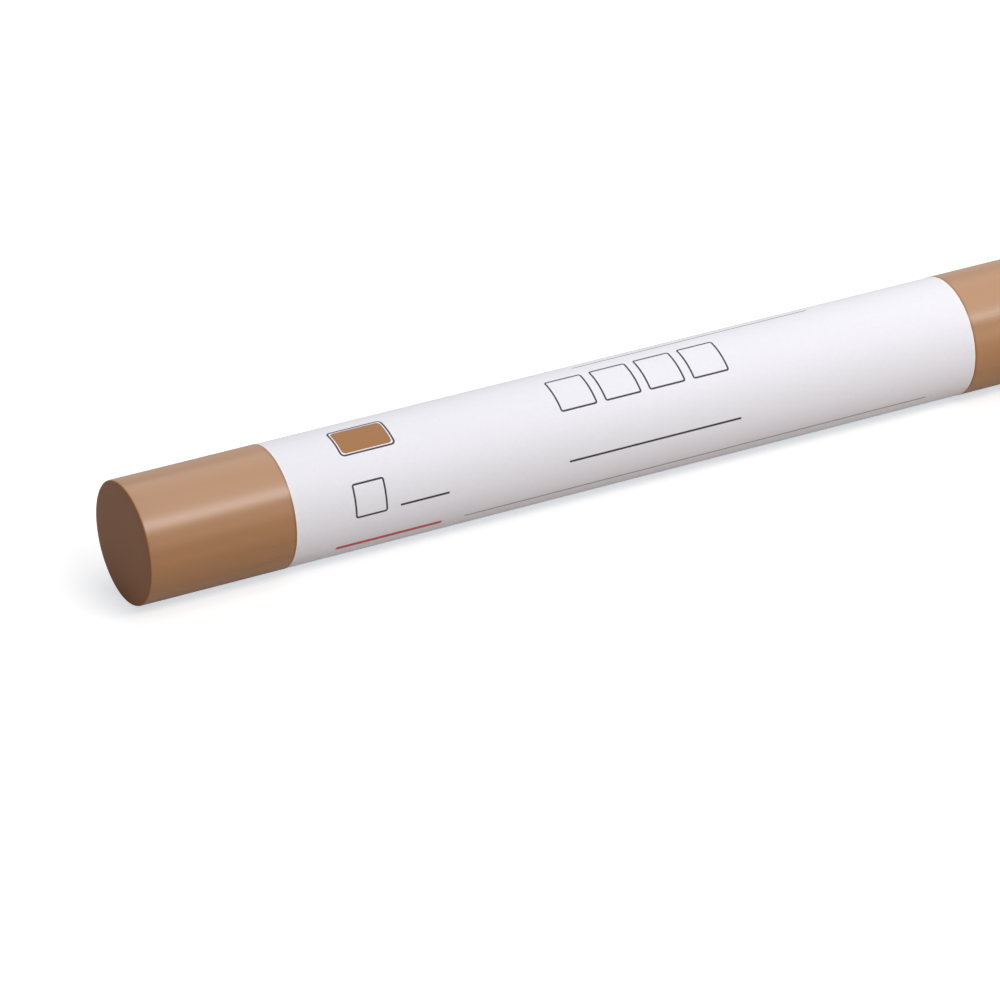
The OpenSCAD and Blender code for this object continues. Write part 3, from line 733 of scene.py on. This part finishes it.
along = add(tree, "ShaderNodeSeparateXYZ", {"Vector": spot}).outputs["X"]
wet = add(tree, "ShaderNodeMapRange", {"Value": along, "From Min": (nib_tip - WET_LENGTH) * MM,
                                       "From Max": nib_tip * MM, "To Max": WET_SHARE},
          interpolation_type="SMOOTHSTEP")
tint = add(tree, "ShaderNodeMix", {"Factor": wet, "A": tint, "B": linear("#5f3b22")}, data_type="RGBA")
bump = add(tree, "ShaderNodeBump", {"Height": strands, "Strength": 1.0, "Distance": STRAND_RISE * MM})
fill(tree, shader, {"Base Color": tint, "Normal": bump, "Roughness": 0.9, "Sheen Weight": 0.3,
                    "Sheen Roughness": 0.4})
print(felt.name, "has", len(tree.nodes), "nodes")

# %% [markdown]
# ## Nib
# The nib is turned too, with a chamfered back and a bullet point. A second tree then presses shallow
# furrows into it along the fibres, because a bump in the material would leave its outline dead
# straight. It presses inwards only, so that the nib still slides in its bore.

# %% Furrow tree
furrow, given = new_tree("felt_furrows", {"Geometry": "Geometry", "Depth": "Float", "Furrow Width": "Float",
                                          "Furrow Length": "Float", "Material": "Material"})
stretch = add(furrow, "ShaderNodeCombineXYZ", {"X": given["Furrow Length"], "Y": given["Furrow Width"],
                                               "Z": given["Furrow Width"]})
place = add(furrow, "GeometryNodeInputPosition")
cells = add(furrow, "ShaderNodeVectorMath", {0: place, 1: stretch}, operation="DIVIDE")
waves = add(furrow, "ShaderNodeTexNoise", {"Vector": cells, "Scale": 1.0, "Detail": 2.0})
depth = add(furrow, "ShaderNodeMath", {0: waves, 1: given["Depth"]}, operation="MULTIPLY")
inward = add(furrow, "ShaderNodeMath", {0: depth, 1: -1.0}, operation="MULTIPLY")
outward = add(furrow, "GeometryNodeInputNormal")
offset = add(furrow, "ShaderNodeVectorMath", {0: outward, "Scale": inward}, operation="SCALE")
pressed = add(furrow, "GeometryNodeSetPosition", {"Geometry": given["Geometry"], "Offset": offset})
close_tree(furrow, pressed, given["Material"])

# %% Nib
NIB_CHAMFER, TIP_R, TAPER = 0.4, 1.3, 25.0  # the taper is in degrees, from the axis
FURROW_DEPTH, FURROW_WIDTH, FURROW_LENGTH = 0.05, 0.35, 4.0
NIB_STEPS, NIB_FACE = 144, 0.3  # steps round it and longest face, fine enough for the furrows
slope = math.radians(TAPER)
tip_centre = nib_tip - TIP_R
taper_end = tip_centre + TIP_R * math.sin(slope)
taper_start = taper_end - (nib_r - TIP_R * math.cos(slope)) / math.tan(slope)
nib_profile = (
    [(nib_x, 0.0), (nib_x, nib_r - NIB_CHAMFER), (nib_x + NIB_CHAMFER, nib_r), (taper_start, nib_r)]
    + arc(tip_centre, 0.0, TIP_R, 90 - TAPER, 0, parts=12)
)
nib_rod = turn_profile("nib_rod", nib_profile, felt, steps=NIB_STEPS, longest=NIB_FACE)
stand_for("nib", grow("felt_nib", furrow, {
    "Depth": FURROW_DEPTH * MM, "Furrow Width": FURROW_WIDTH * MM, "Furrow Length": FURROW_LENGTH * MM,
    "Material": felt}, nib_rod))

# %% [markdown]
# ## Liner
# A soft cup inside the cap closes over the nose and keeps the nib from drying. It is milky
# polyethylene, which has a waxy, cloudy look. Light that scatters below the surface would give that
# too, but slowly, and faint clouds in colour and gloss are enough for a piece that sits inside. A lip at
# its mouth grips the nose. Other small pieces are cloudy in the same way, in their own colours, so the
# clouds are a helper.

# %% Milky polyethylene
def clouded(name, cloud, detail, colours, roughness, **sockets):
    """A material whose colour and gloss both follow clouds of this size in millimetres."""
    material, tree, shader = start_material(name)
    spot = add(tree, "ShaderNodeTexCoord").outputs["Object"]
    clouds = add(tree, "ShaderNodeTexNoise", {"Vector": spot, "Scale": 1 / (cloud * MM), "Detail": detail})
    dark, pale = [linear(colour) for colour in colours]
    tint = add(tree, "ShaderNodeMix", {"Factor": clouds, "A": dark, "B": pale}, data_type="RGBA")
    gloss = add(tree, "ShaderNodeMapRange", {"Value": clouds, "To Min": roughness[0], "To Max": roughness[1]})
    fill(tree, shader, {"Base Color": tint, "Roughness": gloss, **sockets})
    print(name, "has clouds of", cloud, "mm")
    return material


milky_plastic = clouded("milky_moulded_polyethylene", cloud=1.5, detail=3.0, colours=("#d3cfc4", "#ddd9d0"),
                        roughness=(0.38, 0.5), IOR=1.51)

# %% Liner
LINER_BORE_R, LINER_FLOOR, LINER_LIP, LINER_RELIEF = 3.85, 0.7, 2.0, 0.2
liner_inside = liner_end - LINER_FLOOR
lip_end = liner_mouth + LINER_LIP
liner_profile = [
    (liner_inside, 0.0), (liner_inside, LINER_BORE_R + LINER_RELIEF),
    (lip_end + LINER_RELIEF, LINER_BORE_R + LINER_RELIEF), (lip_end, LINER_BORE_R),
    (liner_mouth + MOUTH_CHAMFER, LINER_BORE_R), (liner_mouth, LINER_BORE_R + MOUTH_CHAMFER),
    (liner_mouth, liner_r), (liner_end, liner_r), (liner_end, 0.0)]
stand_for("cap_liner", turn_profile("liner_cup", liner_profile, milky_plastic))

# %% [markdown]
# ## Rubber seal
# The valve closes against a washer of black nitrile rubber. Rubber is matt, with a faint bloom that
# makes it cloudy. A torus would be rounder than a washer, so its edges are rounded in a profile.

# %% Nitrile rubber and seal
SEAL_HOLE_R, SEAL_EDGE = 1.66, 0.12
SMALL_STEPS = 96  # steps round a small piece
rubber = clouded("moulded_nitrile_rubber", cloud=0.8, detail=3.0, colours=("#242426", "#343437"),
                 roughness=(0.6, 0.8), IOR=1.52)
seal_profile = (
    arc(seal_x + SEAL_EDGE, seal_r - SEAL_EDGE, SEAL_EDGE, 180, 90, parts=4)
    + arc(seal_end - SEAL_EDGE, seal_r - SEAL_EDGE, SEAL_EDGE, 90, 0, parts=4)
    + [(seal_end, SEAL_HOLE_R), (seal_x, SEAL_HOLE_R), (seal_x, seal_r - SEAL_EDGE)]
)
stand_for("valve_seal", turn_profile("seal_washer", seal_profile, rubber, steps=SMALL_STEPS))

# %% [markdown]
# ## Valve stem and cage
# Both are small mouldings of natural acetal, a dense, slightly waxy white plastic. The stem's push pin
# has four flutes that let the paint through the seal, and the cage has four windows in its side. A
# fluted outline could be extruded along the pin, but windows need a cut. Both are one tool repeated
# round the axis, so the ring tree makes both.

# %% Acetal and valve stem
GUIDE_R, GUIDE_CHAMFER = 0.9, 0.2
HEAD_THICKNESS, PUSH_PIN_R = 1.2, 1.26
FLUTE_R, FLUTE_COUNT = 0.45, 4
acetal = clouded("natural_moulded_acetal", cloud=1.2, detail=3.0, colours=("#d2cec5", "#dfdcd6"),
                 roughness=(0.3, 0.42), IOR=1.48)
stem_x, stem_end, head_r = reach("valve_stem")
head_x = seal_x - HEAD_THICKNESS
stem_profile = [
    (stem_x, 0.0), (stem_x, GUIDE_R - GUIDE_CHAMFER), (stem_x + GUIDE_CHAMFER, GUIDE_R), (head_x, GUIDE_R),
    (head_x, head_r), (seal_x, head_r), (seal_x, PUSH_PIN_R), (stem_end, PUSH_PIN_R), (stem_end, 0.0)]
stem_body = turn_profile("stem_body", stem_profile, acetal, steps=SMALL_STEPS)
flute_end = stem_end + OVERRUN
flute_profile = [(seal_x, 0.0), (seal_x, FLUTE_R), (flute_end, FLUTE_R), (flute_end, 0.0)]
flute = turn_profile("flute_tool", flute_profile, acetal, height=PUSH_PIN_R, **TOOL)
stand_for("valve_stem", ring("fluted_stem", ring_cut, stem_body, flute, FLUTE_COUNT, acetal))

# %% Valve cage
CAGE_BORE_R, CAGE_FLOOR, CAGE_FLANGE = 2.86, 1.0, 0.8
GUIDE_HOLE_R = 0.95
WINDOW_COUNT, WINDOW_WIDTH, WINDOW_INNER_R = 4, 2.2, 1.3
cage_x, cage_end, flange_r = reach("valve_cage")
cage_r = PLUG_BORE_R - PRESS_GAP
cage_inside = cage_x + CAGE_FLOOR
flange_x = holder_x - CAGE_FLANGE
cage_profile = (
    [(cage_x, GUIDE_HOLE_R), (cage_x, cage_r), (flange_x, cage_r), (flange_x, flange_r),
     (holder_x, flange_r), (holder_x, cage_r)]
    + bead(cage_bead_x, cage_r)
    + [(cage_end, cage_r), (cage_end, CAGE_BORE_R), (cage_inside, CAGE_BORE_R),
       (cage_inside, GUIDE_HOLE_R), (cage_x, GUIDE_HOLE_R)]
)
cage_body = turn_profile("cage_body", cage_profile, acetal, steps=SMALL_STEPS)
window = block("window_tool", low=(cage_inside, -WINDOW_WIDTH / 2, WINDOW_INNER_R),
               high=(flange_x, WINDOW_WIDTH / 2, WINDOW_INNER_R + cage_r))
stand_for("valve_cage", ring("cage_with_windows", ring_cut, cage_body, window, WINDOW_COUNT, acetal))

# %% [markdown]
# ## Steel of spring and ball
# The spring is drawn wire, which the die leaves finely marked. The ball is ground and polished. Bare
# steel is a metal, whose colour is all in its reflections. On the ball the paint has dried in patches.
# Two shaders could be mixed for that, but one is enough: where a noise is high, it is no metal but a
# dull brown film.

# %% Drawn wire and polished steel
FILM = 2.0  # millimetres across a patch of dried paint
FILM_FROM, FILM_FULL = 0.5, 0.65  # where the noise rises above these the film starts and is whole
wire_steel = clouded("drawn_spring_steel", cloud=0.15, detail=2.0, colours=("#a9acb1", "#c6c9cd"),
                     roughness=(0.22, 0.38), Metallic=1.0)
ball_steel, tree, shader = start_material("polished_ball_steel")
spot = add(tree, "ShaderNodeTexCoord").outputs["Object"]
patches = add(tree, "ShaderNodeTexNoise", {"Vector": spot, "Scale": 1 / (FILM * MM), "Detail": 4.0})
dull = add(tree, "ShaderNodeMapRange", {"Value": patches, "From Min": FILM_FROM, "From Max": FILM_FULL})
tint = add(tree, "ShaderNodeMix", {"Factor": dull, "A": linear("#c3c6ca"), "B": linear(PAINT_INK)},
           data_type="RGBA")
gloss = add(tree, "ShaderNodeMapRange", {"Value": dull, "To Min": 0.1, "To Max": 0.45})
bare = add(tree, "ShaderNodeMath", {0: 1.0, 1: dull}, operation="SUBTRACT")
fill(tree, shader, {"Base Color": tint, "Roughness": gloss, "Metallic": bare})
print(ball_steel.name, "has paint in patches of", FILM, "mm")

# %% [markdown]
# ## Spring
# The spring is one wire on a helix. Its end turns lie closed, so that it stands square, and the turns
# between them share the rest of the length. A Screw modifier would space all turns alike, so a tree lays
# out the path, and three clamped ranges add up to that rule.

# %% Coil tree
RINGS, WIRE_SIDES = 289, 12  # rings of points along the wire, and points in each ring
coil, given = new_tree("closed_end_coil", {
    "Turns": "Float", "Coil Radius": "Float", "Wire Radius": "Float", "Closed Pitch": "Float",
    "Length": "Float", "Start X": "Float", "Axis Height": "Float", "Material": "Material"})
run = add(coil, "GeometryNodeMeshLine", {"Count": RINGS})
number = add(coil, "GeometryNodeInputIndex")
share = add(coil, "ShaderNodeMath", {0: number, 1: RINGS - 1}, operation="DIVIDE")
turn = add(coil, "ShaderNodeMath", {0: share, 1: given["Turns"]}, operation="MULTIPLY")
last = add(coil, "ShaderNodeMath", {0: given["Turns"], 1: 1.0}, operation="SUBTRACT")
ends = add(coil, "ShaderNodeMath", {0: given["Wire Radius"], 1: given["Closed Pitch"]}, operation="ADD")
open_run = add(coil, "ShaderNodeMath", {0: ends, 1: -2.0, 2: given["Length"]}, operation="MULTIPLY_ADD")
first_turn = add(coil, "ShaderNodeMapRange", {"Value": turn, "To Max": given["Closed Pitch"]})
open_turns = add(coil, "ShaderNodeMapRange", {"Value": turn, "From Min": 1.0, "From Max": last,
                                              "To Max": open_run})
last_turn = add(coil, "ShaderNodeMapRange", {"Value": turn, "From Min": last, "From Max": given["Turns"],
                                             "To Max": given["Closed Pitch"]})
along = add(coil, "ShaderNodeMath", {0: given["Start X"], 1: given["Wire Radius"]}, operation="ADD")
for stretch in (first_turn, open_turns, last_turn):
    along = add(coil, "ShaderNodeMath", {0: along, 1: stretch}, operation="ADD")
angle = add(coil, "ShaderNodeMath", {0: turn, 1: 2 * math.pi}, operation="MULTIPLY")
down = add(coil, "ShaderNodeMath", {0: given["Coil Radius"], 1: -1.0}, operation="MULTIPLY")
arm = add(coil, "ShaderNodeCombineXYZ", {"X": along, "Z": down})
wound_up = swing(coil, arm, angle, given["Axis Height"])
helix = add(coil, "GeometryNodeSetPosition", {"Geometry": run, "Position": wound_up})
path = add(coil, "GeometryNodeMeshToCurve", {"Mesh": helix})
wire = add(coil, "GeometryNodeCurvePrimitiveCircle",
           {"Resolution": WIRE_SIDES, "Radius": given["Wire Radius"]})
swept = add(coil, "GeometryNodeCurveToMesh", {"Curve": path, "Profile Curve": wire, "Fill Caps": True})
close_tree(coil, swept, given["Material"])

# %% Spring
SPRING_R, WIRE, TURNS, CLOSED_PITCH = 1.35, 0.4, 6.0, 0.45
spring_x, spring_end, _ = reach("valve_spring")
spring = stand_for("valve_spring", grow("spring_wire", coil, {
    "Turns": TURNS, "Coil Radius": SPRING_R * MM, "Wire Radius": WIRE / 2 * MM,
    "Closed Pitch": CLOSED_PITCH * MM, "Length": (spring_end - spring_x) * MM, "Start X": spring_x * MM,
    "Axis Height": axis_z * MM, "Material": wire_steel}))
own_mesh(spring)

# %% [markdown]
# ## Mixing ball
# The ball rests on the wall of the bore, below the marker's axis. A sphere primitive would do. Half a
# circle turned about the ball's own middle uses the lathe that is there.

# %% Mixing ball
ball_x, ball_end, ball_r = reach("mixing_ball")
ball_low, ball_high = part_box("mixing_ball")
ball_height = (ball_low.z + ball_high.z) / 2 / MM
ball_profile = arc((ball_x + ball_end) / 2, 0.0, ball_r, 180, 0, parts=48)
ball = turn_profile("ball", ball_profile, ball_steel, steps=SMALL_STEPS, height=ball_height)
stand_for("mixing_ball", ball)
